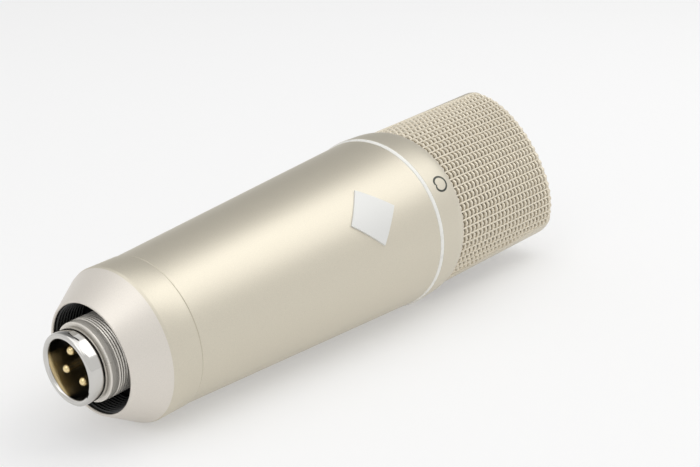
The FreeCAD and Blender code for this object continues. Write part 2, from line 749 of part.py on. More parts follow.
def make_resistors():
    return grouped("resistors", [
        rod(f"resistor_{number}", "Sizes.resistor_radius", "Sizes.resistor_length", x,
            f"{BOARD_BACK} + Sizes.resistor_radius", above(lift))
        for number, (x, lift) in enumerate(RESISTOR_PLACES, start=1)])


def make_lead_header():
    return block("lead_header", "Sizes.header_width", "Sizes.header_depth", "Sizes.header_height",
                 "-Sizes.header_width / 2", BOARD_BACK, above("Sizes.header_lift"))


# ---------------------------------------------------------------------------------------------------
# Capsule: core, films, clamp rings and terminals, held by a cradle on a damped post
# ---------------------------------------------------------------------------------------------------
CORE_BACK = "Sizes.capsule_thickness / 2"
FILM_BACK = CORE_BACK + " + Sizes.film_thickness"
CLAMP_BACK = FILM_BACK + " + Sizes.clamp_thickness"
FOOT_LOW = f"{CAPSULE_AXIS} - Sizes.capsule_radius - Sizes.cradle_wall - Sizes.cradle_foot_drop"


def layer_start(side, near, thickness):
    """Y at which a layer starts that lies past `near` on the front (-1) or the rear (1) side."""
    return near if side > 0 else f"-({near}) - {thickness}"


def make_capsule_side(name, side):
    film = rod(name + "_diaphragm", "Sizes.capsule_radius", "Sizes.film_thickness",
               y=layer_start(side, CORE_BACK, "Sizes.film_thickness"), z=CAPSULE_AXIS, along_y=True)
    clamp = tube(name + "_clamp_ring", "Sizes.capsule_radius", "Sizes.capsule_radius - Sizes.clamp_width",
                 "Sizes.clamp_thickness", y=layer_start(side, FILM_BACK, "Sizes.clamp_thickness"),
                 z=CAPSULE_AXIS, along_y=True)
    terminal = rod(name + "_terminal", "Sizes.terminal_radius", "Sizes.terminal_height",
                   y=layer_start(side, FILM_BACK, "Sizes.terminal_height"), z=CAPSULE_AXIS, along_y=True)
    return film, clamp, terminal


def make_clamp_screws():
    count = int(size("clamp_screw_count"))
    screws = []
    for side in (-1, 1):
        for number in range(count):
            angle = 360 * (number + 0.5) / count
            middle = "(Sizes.capsule_radius - Sizes.clamp_width / 2)"
            screws.append(rod(f"clamp_screw_{'rear' if side > 0 else 'front'}_{number}",
                              "Sizes.clamp_screw_radius", "Sizes.clamp_screw_height",
                              f"{middle} * sin({angle} * 1 deg)",
                              layer_start(side, CLAMP_BACK, "Sizes.clamp_screw_height"),
                              f"{CAPSULE_AXIS} + {middle} * cos({angle} * 1 deg)", along_y=True))
    return grouped("clamp_screws", screws)


def make_cradle():
    outer = "Sizes.capsule_radius + Sizes.cradle_wall"
    ring = rod("cradle_ring", outer, "Sizes.capsule_thickness", y=f"-{CORE_BACK}", z=CAPSULE_AXIS, along_y=True)
    foot = block("cradle_foot", "Sizes.cradle_foot_width", "Sizes.capsule_thickness",
                 f"{CAPSULE_AXIS} - ({FOOT_LOW})", "-Sizes.cradle_foot_width / 2", f"-{CORE_BACK}", FOOT_LOW)
    seat = rod("cradle_seat", "Sizes.capsule_radius + Sizes.fit_clearance", "Sizes.capsule_thickness",
               y=f"-{CORE_BACK}", z=CAPSULE_AXIS, along_y=True)
    return without("capsule_cradle", fused("cradle_blank", [ring, foot]), [seat])


def make_post():
    body = turned("post_turned", [
        ("Sizes.post_spigot_radius / 3", WEB_LOW),
        ("Sizes.post_spigot_radius", WEB_LOW),
        ("Sizes.post_spigot_radius", WEB_TOP),
        ("Sizes.post_flange_radius", WEB_TOP),
        ("Sizes.post_flange_radius", WEB_TOP + " + Sizes.post_flange_height"),
        ("Sizes.post_radius", WEB_TOP + " + Sizes.post_flange_height"),
        ("Sizes.post_radius", f"{FOOT_LOW} - Sizes.damper_height"),
        ("Sizes.post_spigot_radius / 3", f"{FOOT_LOW} - Sizes.damper_height"),
    ])
    return without("capsule_post", body, drills("post_hole", POST_SCREW_PLACES, WEB_TOP,
                                                "Sizes.post_flange_height", "Sizes.small_screw_radius"))


# ---------------------------------------------------------------------------------------------------
# Badge: a bare square plate on its corner, bent to the tube
# ---------------------------------------------------------------------------------------------------
def make_badge():
    taper = "(Sizes.body_head_radius - Sizes.body_base_radius) / Sizes.body_length"
    half = "(Sizes.badge_side / sqrt(2))"
    low = f"-Sizes.badge_setback - {half}"
    layers = []
    for tag, height in (("outer", "Sizes.badge_glue + Sizes.badge_thickness"), ("inner", "Sizes.badge_glue")):
        cone = doc.addObject("Part::Cone", "badge_" + tag)
        cone.setExpression("Radius1", f"Sizes.body_head_radius + ({low}) * {taper} + {height}")
        cone.setExpression("Radius2", f"Sizes.body_head_radius + ({low} + 2 * {half}) * {taper} + {height}")
        cone.setExpression("Height", f"2 * {half}")
        cone.setExpression("Placement.Base.z", low)
        layers.append(cone)
    skin = without("badge_skin", layers[0], [layers[1]])
    punch = block("badge_punch", "Sizes.badge_side", "Sizes.body_head_radius + Sizes.badge_side",
                  "Sizes.badge_side", f"-{half}", "-Sizes.body_head_radius - Sizes.badge_side",
                  "-Sizes.badge_setback")
    punch.Placement.Rotation = FreeCAD.Rotation(FreeCAD.Vector(0, 1, 0), 45)
    return shared("badge_plate", skin, punch)


# ---------------------------------------------------------------------------------------------------
# Leads: straight runs joined by tangent arcs
# ---------------------------------------------------------------------------------------------------
def lead(points, radius):
    """Round wire along a route; each bend's arc takes 0.45 of its shorter run."""
    edges = []
    start = points[0]
    for before, corner, after in zip(points, points[1:], points[2:]):
        inward = (before - corner).normalize()
        outward = (after - corner).normalize()
        reach = 0.45 * min((before - corner).Length, (after - corner).Length)
        entry = corner + inward * reach
        leave = corner + outward * reach
        half_angle = inward.getAngle(outward) / 2
        centre = corner + (inward + outward).normalize() * (reach / math.cos(half_angle))
        middle = centre + (corner - centre).normalize() * (reach * math.tan(half_angle))
        edges.append(Part.LineSegment(start, entry).toShape())
        edges.append(Part.Arc(entry, middle, leave).toShape())
        start = leave
    edges.append(Part.LineSegment(start, points[-1]).toShape())
    path = Part.Wire(edges)
    direction = (points[1] - points[0]).normalize()
    section = Part.Wire(Part.Circle(points[0], direction, radius).toShape())
    return path.makePipeShell([section], True, False)


def lead_node(name, routes):
    item = doc.addObject("Part::Feature", name)
    item.Shape = Part.makeCompound([lead(route, size("lead_radius")) for route in routes])
    return item


def capsule_lead_routes():
    """From each capsule terminal down through the collar's web and on to the board."""
    web_low = size("trim_height")
    web_top = web_low + size("web_thickness")
    axis = web_top + size("capsule_lift")
    face = size("capsule_thickness") / 2 + size("film_thickness") + size("terminal_height")
    hole = size("lead_hole_offset")
    board_high = web_low - size("board_high_gap")
    board_front = size("rail_depth") / 2
    board_back = board_front + size("board_thickness")
    stand_off = face + size("lead_stand_off")
    board_entry = board_high - size("lead_straight")
    routes = []
    for side, board_face in ((-1, board_front), (1, board_back)):
        routes.append([
            FreeCAD.Vector(0, side * face, axis),
            FreeCAD.Vector(0, side * stand_off, axis),
            FreeCAD.Vector(0, side * stand_off, axis - size("lead_drop")),
            FreeCAD.Vector(0, side * hole, web_top + size("lead_straight")),
            FreeCAD.Vector(0, side * hole, board_entry),
            FreeCAD.Vector(0, board_face, board_entry),
        ])
    return routes


def output_lead_routes():
    """From each contact's tail to the header on the board."""
    seam = -size("body_length")
    insert_end = seam - size("spigot_length") + size("tail_length") + size("insert_overhang")
    tail = insert_end + size("pin_tail")
    board_low = seam + size("register_length") + size("board_low_gap")
    header_low = board_low + size("header_lift")
    behind = size("rail_depth") / 2 + size("board_thickness") + size("header_depth") / 2
    routes = []
    for turn, pitches in ((-1, 1), (1, -1), (0, 0)):
        angle = math.radians(size("middle_pin_angle") + turn * size("pin_spread"))
        reach = size("pin_circle_radius")
        x = pitches * size("header_pitch")
        routes.append([
            FreeCAD.Vector(reach * math.sin(angle), -reach * math.cos(angle), tail),
            FreeCAD.Vector(reach * math.sin(angle), -reach * math.cos(angle), tail + size("output_lead_exit")),
            FreeCAD.Vector(x, behind, board_low - size("output_lead_entry")),
            FreeCAD.Vector(x, behind, header_low),
        ])
    return routes


# ---------------------------------------------------------------------------------------------------
# Assembly
# ---------------------------------------------------------------------------------------------------
piece("body_tube", make_body_tube())
piece("badge_plate", make_badge())
piece("base_cup", make_base_cup())
piece("trim_ring", make_trim_ring())
piece("collar", make_collar())
for label, layer in zip(("front_mesh", "rear_mesh", "grille_hoop", "inner_screen"), make_head()):
    piece(label, layer)
piece("grille_base_ring", make_grille_base_ring())
piece("basket_screws", screw_row("basket_screws", BASKET_PLACES, WEB_TOP + " + Sizes.base_ring_floor",
                                 "Sizes.base_ring_floor + Sizes.web_thickness",
                                 "Sizes.small_screw_radius", True))
piece("plug_shell", make_plug_shell())
piece("threaded_ferrule", make_threaded_ferrule())
piece("plug_insert", make_insert())
for pin_number, pin_place in enumerate(PIN_PLACES, start=1):
    piece(f"contact_pin_{pin_number}", make_contact_pin(pin_number, pin_place))
piece("chassis_end_ring", make_end_ring())
piece("ferrule_nut", make_nut())
piece("rail_left", make_rail("rail_left", -1))
piece("rail_right", make_rail("rail_right", 1))
piece("lower_rail_screws", screw_row("lower_rail_screws", RAIL_PLACES, RING_LOW + " + Sizes.screw_head_height",
                                     f"{RING_TOP} - ({RING_LOW}) - Sizes.screw_head_height + Sizes.screw_bite",
                                     "Sizes.screw_radius", False))
piece("upper_rail_screws", screw_row("upper_rail_screws", RAIL_PLACES, WEB_TOP,
                                     "Sizes.web_thickness + Sizes.screw_bite", "Sizes.screw_radius", True))
piece("circuit_board", make_board())
piece("board_screws", make_board_screws())
piece("film_capacitors", make_film_capacitors())
piece("electrolytic_capacitors", make_electrolytic_capacitors())
piece("transistors", make_transistors())
piece("resistors", make_resistors())
piece("lead_header", make_lead_header())
piece("capsule_core", rod("capsule_core", "Sizes.capsule_radius", "Sizes.capsule_thickness",
                          y=f"-{CORE_BACK}", z=CAPSULE_AXIS, along_y=True))
for face_name, face_side in (("front", -1), ("rear", 1)):
    film_item, clamp_item, terminal_item = make_capsule_side(face_name, face_side)
    piece(face_name + "_diaphragm", film_item)
    piece(face_name + "_clamp_ring", clamp_item)
    piece(face_name + "_terminal", terminal_item)
piece("clamp_screws", make_clamp_screws())
piece("capsule_cradle", make_cradle())
piece("cradle_damper", rod("cradle_damper", "Sizes.damper_radius", "Sizes.damper_height",
                           z=f"{FOOT_LOW} - Sizes.damper_height"))
piece("capsule_post", make_post())
piece("post_screws", screw_row("post_screws", POST_SCREW_PLACES, WEB_TOP + " + Sizes.post_flange_height",
                               "Sizes.post_flange_height + Sizes.web_thickness",
                               "Sizes.small_screw_radius", True))
piece("capsule_leads", lead_node("capsule_leads", capsule_lead_routes()))
piece("output_leads", lead_node("output_leads", output_lead_routes()))
doc.recompute()

# ---------------------------------------------------------------------------------------------------
# Lay the microphone down: it rests on the collar's lower edge and on the edge of the cup's band
# ---------------------------------------------------------------------------------------------------
collar_contact = size("trim_height") + size("edge_chamfer")
band_contact = -size("body_length") - size("band_length")
lying_tilt = math.degrees(math.atan2(solved(COLLAR_RADIUS) - solved(BAND_RADIUS),
                                     collar_contact - band_contact))
attitude = FreeCAD.Rotation(FreeCAD.Vector(0, 1, 0), 90 - lying_tilt).multiply(
    FreeCAD.Rotation(FreeCAD.Vector(0, 0, 1), size("front_angle") - 90))

whole = Part.makeCompound([item.Shape for item in pieces])
whole.Placement = FreeCAD.Placement(FreeCAD.Vector(), attitude)
reach_box = whole.optimalBoundingBox(False, False)
seat = FreeCAD.Placement(
    FreeCAD.Vector(-reach_box.Center.x, -reach_box.Center.y, -reach_box.ZMin), attitude)

for item in pieces:
    for axis in ("x", "y", "z"):
        item.setExpression(f"Placement.Base.{axis}", None)
    item.Placement = seat.multiply(item.Placement)
doc.recompute()

# ---------------------------------------------------------------------------------------------------
# Check every object and write one file per sub-part
# ---------------------------------------------------------------------------------------------------
for item in doc.Objects:
    if "Invalid" in item.State or "Error" in item.State:
        raise RuntimeError(f"{item.Name} failed to build: {item.State}")
for item in pieces:
    if item.Shape.isNull() or not item.Shape.isValid() or not item.Shape.Solids:
        raise RuntimeError(f"{item.Label} has no valid solid")

os.makedirs("parts", exist_ok=True)
for item in pieces:
    item.Shape.exportStep(f"parts/{item.Label}.step")

along = seat.Rotation.multVec(FreeCAD.Vector(0, 0, 1))
print("sub-parts:", len(pieces), "solids:", sum(len(item.Shape.Solids) for item in pieces))
print("axis passes through", tuple(round(v, 4) for v in seat.Base), "along", tuple(round(v, 6) for v in along))
print("box", reach_box.XLength, reach_box.YLength, reach_box.ZLength, "tilt", round(lying_tilt, 4))
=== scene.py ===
import bpy
import bmesh
import json
import math
from mathutils import Matrix, Vector


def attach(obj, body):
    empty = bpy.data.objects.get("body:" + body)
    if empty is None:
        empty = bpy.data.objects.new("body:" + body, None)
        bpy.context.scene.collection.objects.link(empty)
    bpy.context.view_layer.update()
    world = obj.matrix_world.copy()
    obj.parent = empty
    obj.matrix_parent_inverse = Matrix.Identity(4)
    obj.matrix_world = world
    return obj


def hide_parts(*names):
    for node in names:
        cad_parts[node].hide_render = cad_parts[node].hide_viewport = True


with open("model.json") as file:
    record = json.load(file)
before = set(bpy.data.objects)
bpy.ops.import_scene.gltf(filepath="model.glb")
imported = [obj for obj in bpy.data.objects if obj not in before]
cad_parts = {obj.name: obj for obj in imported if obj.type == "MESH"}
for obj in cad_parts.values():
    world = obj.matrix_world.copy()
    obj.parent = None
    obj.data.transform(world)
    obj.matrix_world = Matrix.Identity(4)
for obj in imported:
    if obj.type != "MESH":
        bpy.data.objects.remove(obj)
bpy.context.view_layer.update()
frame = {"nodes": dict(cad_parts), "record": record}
nodes = frame["nodes"]


# ---- Shared measures and helpers ---------------------------------------------------------------
# Pieces are made upright and in millimetres: z runs along the microphone, 0 is the head end of the
# body tube, the plug is below it and the front faces -y. LAY turns them and sets them down.
mm_per_metre = 1000
mount_to_seam = 0.1081  # metres along the axis, from the stand thread to the tube's head end
front_angle = 53.5  # how far the front is turned about the axis, in degrees
edge_angle = math.radians(20)  # a sharper edge stays crisp, and takes a bevel
merge_distance = 1e-4
fine_steps, plug_steps, pin_steps = 256, 160, 40  # faces round a turned piece

thread_mount = next(m for m in frame["record"]["mounts"] if m["name"] == "stand_thread")
along = -Vector(thread_mount["axis"])
rise = math.asin(along.z)
seam_plane = Vector(thread_mount["pos_m"]) + along * mount_to_seam
LAY = (Matrix.Translation(seam_plane)
       @ Matrix.Rotation(math.pi / 2 - rise, 4, "Y")
       @ Matrix.Rotation(math.radians(front_angle - 90), 4, "Z")
       @ Matrix.Scale(1 / mm_per_metre, 4))


def settled(name, bm, body, finish):
    """Ends a piece: lays its mesh down with the microphone and gives it its material and body."""
    bmesh.ops.transform(bm, matrix=LAY, verts=bm.verts)
    mesh = bpy.data.meshes.new(name)
    bm.to_mesh(mesh)
    bm.free()
    mesh.shade_smooth()
    mesh.set_sharp_from_angle(angle=edge_angle)
    piece = bpy.data.objects.new(name, mesh)
    bpy.context.scene.collection.objects.link(piece)
    mesh.materials.append(finish)
    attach(piece, body)
    return piece


def turned(outline, steps, centre=(0, 0)):
    """A closed outline of (radius, station) corners, spun about the axis or another centre."""
    bm = bmesh.new()
    corners = [bm.verts.new((radius, 0, station)) for radius, station in outline]
    rim = [bm.edges.new(pair) for pair in zip(corners, corners[1:] + corners[:1])]
    bmesh.ops.spin(bm, geom=corners + rim, cent=(0, 0, 0), axis=(0, 0, 1), dvec=(0, 0, 0),
                   angle=math.tau, steps=steps, use_merge=True)
    bmesh.ops.remove_doubles(bm, verts=bm.verts, dist=merge_distance)
    bmesh.ops.recalc_face_normals(bm, faces=bm.faces)
    bmesh.ops.translate(bm, vec=(centre[0], centre[1], 0), verts=bm.verts)
    return bm


def eased(piece, width, segments):
    """Softens a piece's turned edges with a small bevel, width in millimetres."""
    bevel = piece.modifiers.new("eased_edges", "BEVEL")
    bevel.width = width / mm_per_metre
    bevel.segments = segments
    bevel.limit_method = "ANGLE"
    bevel.angle_limit = edge_angle
    bevel.harden_normals = True


def finish_of(name, colour, rough, metal=0.0):
    """A material from an sRGB colour, as (material, shader, node maker, socket joiner)."""
    material = bpy.data.materials.new(name)
    material.use_nodes = True
    tree = material.node_tree
    shader = tree.nodes["Principled BSDF"]
    linear = [((c / 255 + 0.055) / 1.055) ** 2.4 for c in colour]
    shader.inputs["Base Color"].default_value = (*linear, 1)
    shader.inputs["Roughness"].default_value = rough
    shader.inputs["Metallic"].default_value = metal
    return material, shader, tree.nodes.new, tree.links.new


noise_low, noise_high = 0.3, 0.7  # what most of the noise lies between
least_rough = 0.02


def textured(name, colour, rough, metal, grain, tint, relief, grip, detail=3.0, stretch=(1, 1, 1)):
    """A finish with fine noise: grain and relief are its size and height in millimetres, tint is
    its share of the colour, and grip its change of roughness."""
    material, shader, add, join = finish_of(name, colour, rough, metal)

    def graded(low, high):
        """The noise, spread over a range of values."""
        spread = add("ShaderNodeMapRange")
        spread.inputs["From Min"].default_value = noise_low
        spread.inputs["From Max"].default_value = noise_high
        spread.inputs["To Min"].default_value = low
        spread.inputs["To Max"].default_value = high
        join(noise.outputs["Fac"], spread.inputs["Value"])
        return spread.outputs["Result"]

    place = add("ShaderNodeTexCoord")
    turn = add("ShaderNodeMapping")
    turn.inputs["Rotation"].default_value = (0, -rise, 0)
    turn.inputs["Scale"].default_value = stretch
    noise = add("ShaderNodeTexNoise")
    noise.inputs["Scale"].default_value = mm_per_metre / grain
    noise.inputs["Detail"].default_value = detail
    join(place.outputs["Object"], turn.inputs["Vector"])
    join(turn.outputs["Vector"], noise.inputs["Vector"])
    shade = graded(1 - tint, 1 + tint)
    paint = add("ShaderNodeMix")
    paint.data_type = "RGBA"
    paint.blend_type = "MULTIPLY"
    paint.inputs["Factor"].default_value = 1
    paint.inputs["A"].default_value = shader.inputs["Base Color"].default_value[:]
    join(shade, paint.inputs["B"])
    join(paint.outputs["Result"], shader.inputs["Base Color"])
    join(graded(max(least_rough, rough - grip), rough + grip), shader.inputs["Roughness"])
    bump = add("ShaderNodeBump")
    bump.inputs["Strength"].default_value = 1
    bump.inputs["Distance"].default_value = relief / mm_per_metre
    join(noise.outputs["Fac"], bump.inputs["Height"])
    join(bump.outputs["Normal"], shader.inputs["Normal"])
    return material


def refinished(finish, *names):
    """Gives CAD nodes that keep their own shape a new material."""
    for name in names:
        materials = nodes[name].data.materials
        materials.clear()
        materials.append(finish)


# ---- Body tube -------------------------------------------------------------------------------
# A drawn and turned aluminium sleeve, tapered towards the plug, sprayed with a satin champagne
# metallic enamel. It slips over the chassis and is held by the base cup screwed on below it.
enamel = textured("champagne_enamel", (213, 206, 189), rough=0.40, metal=0.55,
                  grain=0.22, tint=0.05, relief=0.012, grip=0.05)
tube = settled("body_tube_sleeve", turned([
    (21.30, -94.26), (21.55, -94.20), (21.71, -94.02), (27.52, -0.06), (27.46, 0), (25.90, 0),
    (25.90, -4.5), (25.62, -4.5), (20.10, -94.26)], fine_steps), "tube", enamel)
eased(tube, 0.10, 2)
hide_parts("body_tube")


# ---- Trim ring -------------------------------------------------------------------------------
# A thin moulded ring in glossy ivory, trapped between the head end of the body tube and the
# collar's shoulder. It stands a hair proud and draws the pale line round the microphone.
ivory = textured("ivory_gloss", (244, 243, 238), rough=0.28, metal=0.0,
                 grain=3.0, tint=0.01, relief=0.002, grip=0.03)
trim = settled("trim_ring_band", turned([
    (25.95, 0.02), (27.50, 0.02), (27.64, 0.12), (27.93, 1.02), (27.93, 1.09), (25.95, 1.09)],
    fine_steps), "head_chassis", ivory)
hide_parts("trim_ring")


# ---- Collar ----------------------------------------------------------------------------------
# A turned ring in the same enamel as the tube, joined to the chassis rails by its inner web. Its
# curved top edge carries the grille; the register below slips into the body tube.
collar = settled("collar_ring", turned([
    (23.95, -4.0), (25.85, -4.0), (25.85, 1.10), (27.93, 1.10), (28.0, 1.18), (27.97, 4.0),
    (27.88, 7.2), (27.76, 9.2), (27.60, 10.5), (27.36, 11.6), (27.08, 12.4), (26.80, 12.78),
    (25.0, 12.80), (25.0, 3.10), (3.05, 3.10), (3.05, 1.10), (23.95, 1.10)], fine_steps),
    "head_chassis", enamel)
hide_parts("collar")

# Polar pattern sign: a thin printed cardioid outline, its notch towards the plug. It is wrapped on
# the collar's wall, which draws in as it nears the head.
sign_steps, sign_station, sign_middle = 72, 7.0, 2.10
sign_radius, sign_notch, sign_width, sign_inner = 2.65, 0.88, 0.80, 0.76
wall_radius, wall_station, wall_slope, wall_curve = 27.99, 4.0, 0.009, 0.0059
ink = textured("pattern_ink", (56, 60, 50), rough=0.45, metal=0.0,
               grain=0.3, tint=0.05, relief=0.002, grip=0.05)
bm = bmesh.new()
loops = []
for scale in (1.0, sign_inner):
    loop = []
    for step in range(sign_steps):
        turn = math.tau * step / sign_steps
        radius = sign_radius * (1 + sign_notch * math.cos(turn))
        axial = sign_station + scale * (radius * math.cos(turn) - sign_middle)
        side = scale * sign_width * radius * math.sin(turn)
        climb = axial - wall_station
        wall = wall_radius - wall_slope * climb - wall_curve * climb ** 2
        place = (wall * math.sin(side / wall), -wall * math.cos(side / wall), axial)
        loop.append(bm.verts.new(place))
    loops.append([bm.edges.new(pair) for pair in zip(loop, loop[1:] + loop[:1])])
bmesh.ops.bridge_loops(bm, edges=loops[0] + loops[1])
bmesh.ops.recalc_face_normals(bm, faces=bm.faces)
settled("polar_pattern_mark", bm, "head_chassis", ink)


# ---- Badge -----------------------------------------------------------------------------------
# A thin square plate of satin metal, set on its corner and bent to the tube. It is left bare.
silver = textured("badge_satin", (228, 228, 225), rough=0.48, metal=0.15,
                  grain=0.5, tint=0.012, relief=0.004, grip=0.04, stretch=(1, 6, 6))
refinished(silver, "badge_plate")


# ---- Base cup --------------------------------------------------------------------------------
# A turned aluminium cup that screws onto the chassis below the tube: a plain band, a straight cone
# and a rolled lip round the mouth. The cone and lip are coloured lighter than the band's enamel, as
# painted light where they catch the lamps. Inside the mouth the wall and its thread ribs are
# coloured near black.
bore, rib_crest, rib_pitch, rib_count, first_rib = 15.3, 15.0, 1.0, 9, -112.3
bore_edge, lip_start, cone_start = 15.35, -112.75, -103.95
# The cone's colour is lighter than the band's enamel: painted light for the light the cone catches.
cone_painted_light = textured("cone_enamel_painted_light", (225, 219, 210), rough=0.38, metal=0.55,
                      grain=0.22, tint=0.04, relief=0.010, grip=0.05)
black_bore = textured("bore_near_black", (26, 26, 24), rough=0.38, metal=0.0,
                      grain=0.4, tint=0.10, relief=0.01, grip=0.08)
ribs = []
for turn in range(rib_count):
    station = first_rib + turn * rib_pitch
    ribs += [(bore, station), (bore, station + 0.35), (rib_crest, station + 0.5),
             (rib_crest, station + 0.85)]
bm = turned([(21.62, -94.35), (19.10, -94.35), (19.10, -102.8), (bore, -102.8)] + ribs[::-1]
            + [(bore, -112.75), (15.4, -112.98), (15.6, -113.09), (15.85, -113.1), (16.02, -112.98),
               (21.50, -104.12), (21.60, -103.98), (21.86, -103.32), (21.9, -103.20),
               (21.9, -94.52), (21.76, -94.35)], fine_steps)
# Faces inside the mouth take the near-black colour. The cone and lip take the lighter cone colour,
# which is painted light.
for face in bm.faces:
    middle = face.calc_center_median()
    if math.hypot(middle.x, middle.y) < bore_edge and middle.z > lip_start:
        face.material_index = 1
    elif middle.z < cone_start:
        face.material_index = 2
cup = settled("base_cup_shell", bm, "cup", enamel)
cup.data.materials.append(black_bore)
cup.data.materials.append(cone_painted_light)
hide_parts("base_cup")


# ---- Mesh panels -----------------------------------------------------------------------------
# Two halves of woven round wire, pressed to the wedge and sprayed with the casing. Stout level
# wires wave over one thin upright wire and under the next, so their crests line up as ribs.
foot_radius, top_half_width, top_half_depth = 26.6, 27.8, 14.0
foot, crown, rounding = 12.8, 78.6, 6.0
hoop_half, hoop_overlap = 4.5, 0.9  # the hoop's half width, and how far the wires run in under it
wave_pitch, level_pitch = 2.77, 2.45
upright_radius, level_radius = 0.30, 0.55
over_depth, under_depth, level_middle, level_sway = 0.58, 1.40, 0.86, 0.34
levels_side, levels_round, levels_top = 24, 4, 2  # rows up the wall, round its edge and on top
first_level = 0.3  # rows from the foot to the lowest level wire
straight_share = 0.92  # the wall's part of the head's height, near enough to space the wires
walk_step = 0.5


def head_point(turn, level):
    """Point and outward normal on the wedge, at an angle round it and a row counted upwards."""
    cos, sin = math.cos(turn), math.sin(turn)
    low = Vector((foot_radius * cos, foot_radius * sin, foot))
    high = Vector((top_half_width * cos, top_half_depth * sin, crown))
    outward = Vector((cos / top_half_width, sin / top_half_depth, 0)).normalized()
    lean = math.atan((low - high).dot(outward) / (crown - foot))
    reach = rounding * math.tan((math.pi / 2 - lean) / 2)
    share = 1 - reach * math.cos(lean) / (crown - foot)
    if level <= levels_side:
        place = low.lerp(high, share * level / levels_side)
        half_width = foot_radius + (top_half_width - foot_radius) * share * level / levels_side
        half_depth = foot_radius + (top_half_depth - foot_radius) * share * level / levels_side
        across = Vector((-half_width * sin, half_depth * cos, 0))
        return place, across.cross(high - low).normalized()
    tangent = low.lerp(high, share)
    start = Vector((outward.x * math.cos(lean), outward.y * math.cos(lean), math.sin(lean)))
    centre = tangent - rounding * start
    if level <= levels_side + levels_round:
        bend = lean + (math.pi / 2 - lean) * (level - levels_side) / levels_round
        normal = outward * math.cos(bend) + Vector((0, 0, math.sin(bend)))
        return centre + rounding * normal, normal
    inward = level_pitch * (level - levels_side - levels_round)
    return centre + Vector((0, 0, rounding)) - outward * inward, Vector((0, 0, 1))


def turn_at(distance, half_width, half_depth, start):
    """Section angle at a distance along the oval from its middle, found in small steps."""
    turn, left, way = start, abs(distance), math.copysign(1, distance)
    while left > 0:
        pace = math.hypot(half_width * math.sin(turn), half_depth * math.cos(turn))
        move = min(left, walk_step)
        turn += way * move / pace
        left -= move
    return turn


def strand(curve, distances, levels, depths, middle):
    """One wire of the weave, through points given by distance round the head, level and depth."""
    points = []
    for distance, level, depth in zip(distances, levels, depths):
        share = min(level, levels_side) / levels_side * straight_share
        turn = turn_at(distance, foot_radius + (top_half_width - foot_radius) * share,
                       foot_radius + (top_half_depth - foot_radius) * share, middle)
        if abs(turn - middle) > math.pi / 2:
            continue
        place, normal = head_point(turn, level)
        if abs(place.y) > hoop_half - hoop_overlap and place.y * math.sin(middle) > 0:
            points.append(place - normal * depth)
    if len(points) > 1:
        spline = curve.splines.new("POLY")
        spline.points.add(len(points) - 1)
        for point, place in zip(spline.points, points):
            point.co = (*place, 1)


wire = textured("grille_wire_enamel", (232, 223, 204), rough=0.45, metal=0.20,
                grain=0.25, tint=0.05, relief=0.006, grip=0.05)
top_level = levels_side + levels_round + levels_top
half_count = int(foot_radius * math.pi / 2 / wave_pitch)
half_steps = [step / 2 for step in range(2 * top_level + 1)]
for name, node, middle in (("front_mesh_weave", "front_mesh", -math.pi / 2),
                           ("rear_mesh_weave", "rear_mesh", math.pi / 2)):
    bm = bmesh.new()
    for kind, radius in (("over", upright_radius), ("under", upright_radius),
                         ("level", level_radius)):
        curve = bpy.data.curves.new(name + "_" + kind, "CURVE")
        curve.dimensions = "3D"
        curve.bevel_depth = radius
        curve.bevel_resolution = 2 if kind == "level" else 1
        if kind == "level":
            sixths = range(-6 * half_count - 6, 6 * half_count + 7)
            across = [wave_pitch * sixth / 6 for sixth in sixths]
            dips = [level_middle + level_sway * math.cos(math.tau * sixth / 6) for sixth in sixths]
            for level in range(top_level + 1):
                strand(curve, across, [level + first_level] * len(across), dips, middle)
        else:
            shift, depth = (0, over_depth) if kind == "over" else (0.5, under_depth)
            for column in range(-half_count - 1, half_count + 1):
                strand(curve, [(column + shift) * wave_pitch] * len(half_steps), half_steps,
                       [depth] * len(half_steps), middle)
        strung = bpy.data.objects.new(curve.name, curve)
        bpy.context.scene.collection.objects.link(strung)
        bpy.context.view_layer.update()
        bm.from_mesh(bpy.data.meshes.new_from_object(strung))
        bpy.data.objects.remove(strung)
    panel = settled(name, bm, "head_chassis", wire)
    panel.data.shade_smooth()
    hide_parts(node)


# ---- Grille hoop, inner screen and base ring ---------------------------------------------------
# A rolled strip, in the casing's enamel, closes the two mesh halves over both flanks and the top.
# A fine gauze lines them, coloured dark olive as painted shade for the inside of the head; the base
# ring below is screwed to the collar's web.
hoop_paint = textured("hoop_enamel", (210, 202, 184), rough=0.42, metal=0.50,
                      grain=0.22, tint=0.05, relief=0.010, grip=0.05)
# The gauze's dark olive colour is painted shade, standing for the shade inside the head behind the
# wires.
screen_painted_shade = textured("dark_gauze", (46, 38, 24), rough=0.70, metal=0.10,
                 grain=0.4, tint=0.25, relief=0.05, grip=0.10, detail=1.0)
refinished(hoop_paint, "grille_hoop", "grille_base_ring")
refinished(screen_painted_shade, "inner_screen")


